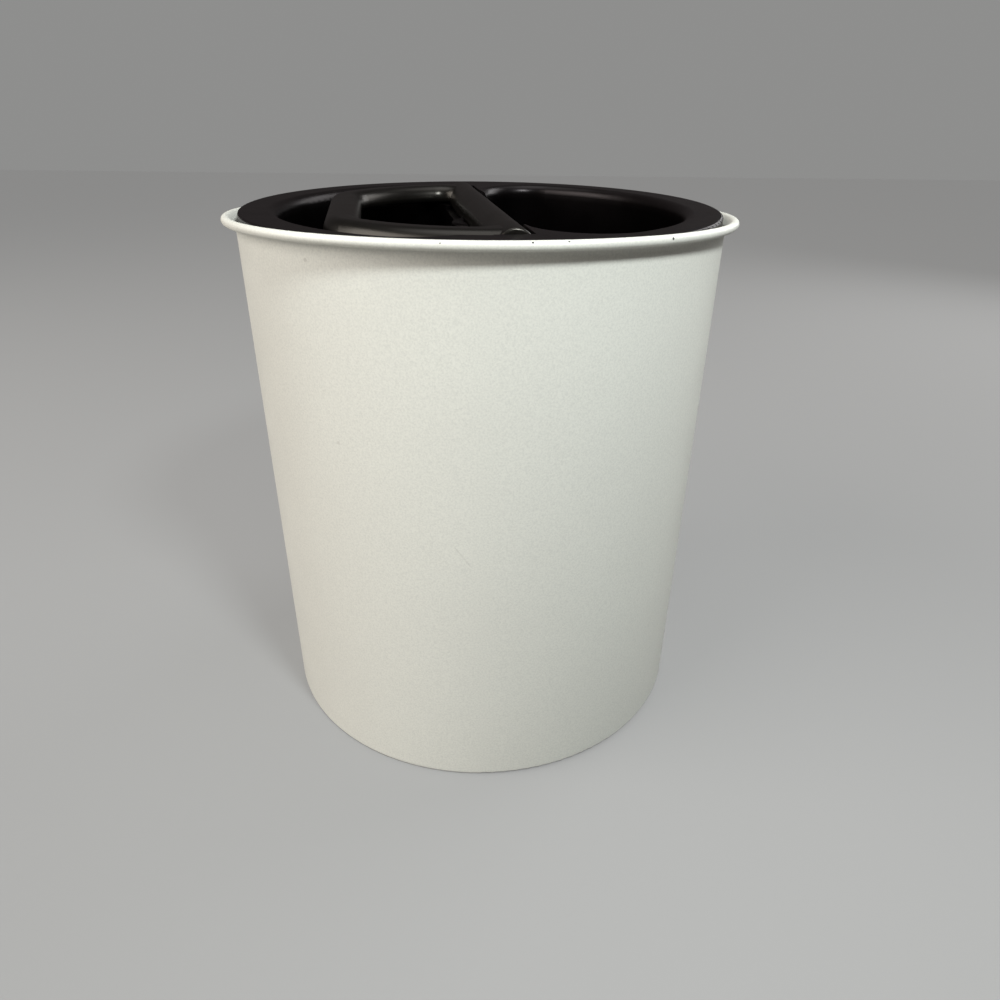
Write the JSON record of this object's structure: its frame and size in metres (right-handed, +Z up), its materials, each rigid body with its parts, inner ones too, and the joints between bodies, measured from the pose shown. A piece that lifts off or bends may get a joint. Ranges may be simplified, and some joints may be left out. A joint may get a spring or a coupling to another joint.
{
  "type": "coffee canister with valve",
  "caption": "Round coated-steel coffee canister with a flared, rolled rim and a black plunger lid, whose folding D handle turns on a bar across the lid and opens a valve in its middle.",
  "frame": {"origin": "centre of the base, on the surface that the canister stands on", "axes": "+Z up along the canister's axis, -Y the side that the picture shows, and the handle folds down towards -X"},
  "size_m": [0.189, 0.189, 0.2099],
  "materials": {
    "coated_steel": "satin powder coat",
    "lid_plastic": "fine satin",
    "handle_plastic": "satin",
    "wiper_rubber": "matte silicone",
    "seal_rubber": "matte silicone",
    "valve_plastic": "smooth",
    "screen_plastic": "satin",
    "bright_steel": "drawn bright"
  },
  "bodies": {
    "canister": {"canister_body": "coated_steel"},
    "lid": {"lid_top": "lid_plastic", "lid_underplate": "lid_plastic", "wiper_seal": "wiper_rubber", "lid_screws": "bright_steel", "hinge_pin_front": "bright_steel", "hinge_pin_rear": "bright_steel", "valve_spring": "bright_steel", "valve_screen": "screen_plastic"},
    "handle": {"handle": "handle_plastic"},
    "valve": {"valve_stem": "valve_plastic", "valve_seal": "seal_rubber", "seal_washer": "bright_steel", "stem_clip": "bright_steel"}
  },
  "joints": [
    {"name": "lid_slide", "type": "slide", "parent": "canister", "child": "lid", "axis": [0, 0, 1], "range_m": [-0.165, 0.12]},
    {"name": "handle_hinge", "type": "hinge", "parent": "lid", "child": "handle", "pos_m": [0, 0.00022, 0.20031], "axis": [-0.1478, 0.9879, 0.0466], "range_deg": [0, 90]},
    {"name": "valve_slide", "type": "slide", "parent": "lid", "child": "valve", "axis": [0, 0.0471, -0.9989], "range_m": [0, 0.003], "deforming": ["valve_spring"]}
  ],
  "couplings": [
    {"joint": "valve_slide", "follows": "handle_hinge", "m_per_rad": 0.0019098}
  ]
}
